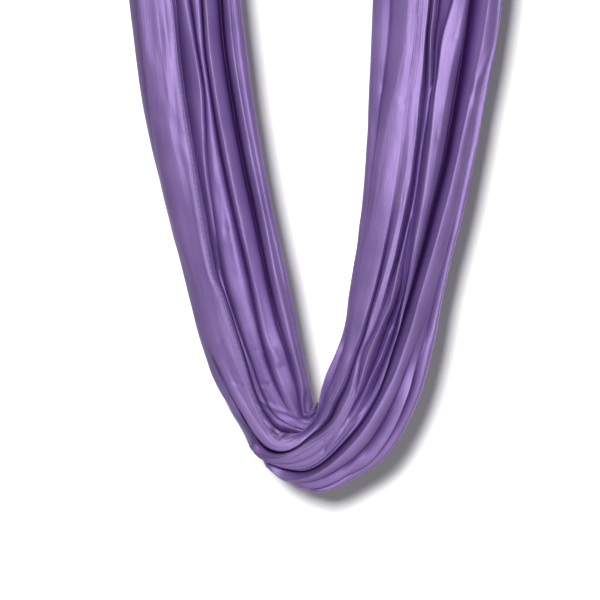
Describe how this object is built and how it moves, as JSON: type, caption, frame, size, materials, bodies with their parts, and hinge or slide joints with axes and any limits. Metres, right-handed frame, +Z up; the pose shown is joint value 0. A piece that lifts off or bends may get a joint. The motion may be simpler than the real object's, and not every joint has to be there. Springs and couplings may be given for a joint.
{
  "type": "aerial yoga hammock",
  "caption": "Hammock of one wide soft cloth, gathered into a U-shaped sling and choked at each end onto a screw-lock carabiner, for hanging yoga and stretching.",
  "frame": {"origin": "where the crown of the left carabiner bears on what it hangs on", "axes": "+X from the left hanging point to the right one, +Y away from whoever faces the front, +Z up"},
  "size_m": [0.8174, 0.1084, 2.2088],
  "materials": {
    "nylon_tricot": "satin",
    "polished_aluminium": "polished",
    "anodised_aluminium": "satin",
    "stainless_steel": "satin"
  },
  "bodies": {
    "carabiners": {"left_carabiner_frame": "polished_aluminium", "left_gate_hinge_pin": "stainless_steel", "right_carabiner_frame": "polished_aluminium", "right_gate_hinge_pin": "stainless_steel"},
    "left_gate": {"left_carabiner_gate": "polished_aluminium", "left_gate_latch_pin": "stainless_steel", "left_gate_spring": "stainless_steel", "left_gate_plunger": "stainless_steel"},
    "right_gate": {"right_carabiner_gate": "polished_aluminium", "right_gate_latch_pin": "stainless_steel", "right_gate_spring": "stainless_steel", "right_gate_plunger": "stainless_steel"},
    "left_sleeve": {"left_lock_sleeve": "anodised_aluminium"},
    "right_sleeve": {"right_lock_sleeve": "anodised_aluminium"},
    "sling": {"sling_cloth": "nylon_tricot", "left_cloth_eye": "nylon_tricot", "left_choke_wrap": "nylon_tricot", "left_cloth_tail": "nylon_tricot", "right_cloth_eye": "nylon_tricot", "right_choke_wrap": "nylon_tricot", "right_cloth_tail": "nylon_tricot"}
  },
  "joints": [
    {"name": "left_gate_hinge", "type": "hinge", "parent": "carabiners", "child": "left_gate", "pos_m": [-0.028, 0, -0.026], "axis": [0, -1, 0], "range_deg": [0, 24], "stiffness_Nm_per_rad": 0.3, "springref_deg": -20.05},
    {"name": "left_sleeve_travel", "type": "slide", "parent": "left_gate", "child": "left_sleeve", "axis": [0, 0, -1], "range_m": [0, 0.012]},
    {"name": "right_gate_hinge", "type": "hinge", "parent": "carabiners", "child": "right_gate", "pos_m": [0.768, 0, -0.026], "axis": [0, 1, 0], "range_deg": [0, 24], "stiffness_Nm_per_rad": 0.3, "springref_deg": -20.05},
    {"name": "right_sleeve_travel", "type": "slide", "parent": "right_gate", "child": "right_sleeve", "axis": [0, 0, -1], "range_m": [0, 0.012]},
    {"name": "sling_swing", "type": "hinge", "parent": "carabiners", "child": "sling", "pos_m": [0, 0, -0.096], "axis": [1, 0, 0], "range_deg": [-45, 45]}
  ]
}
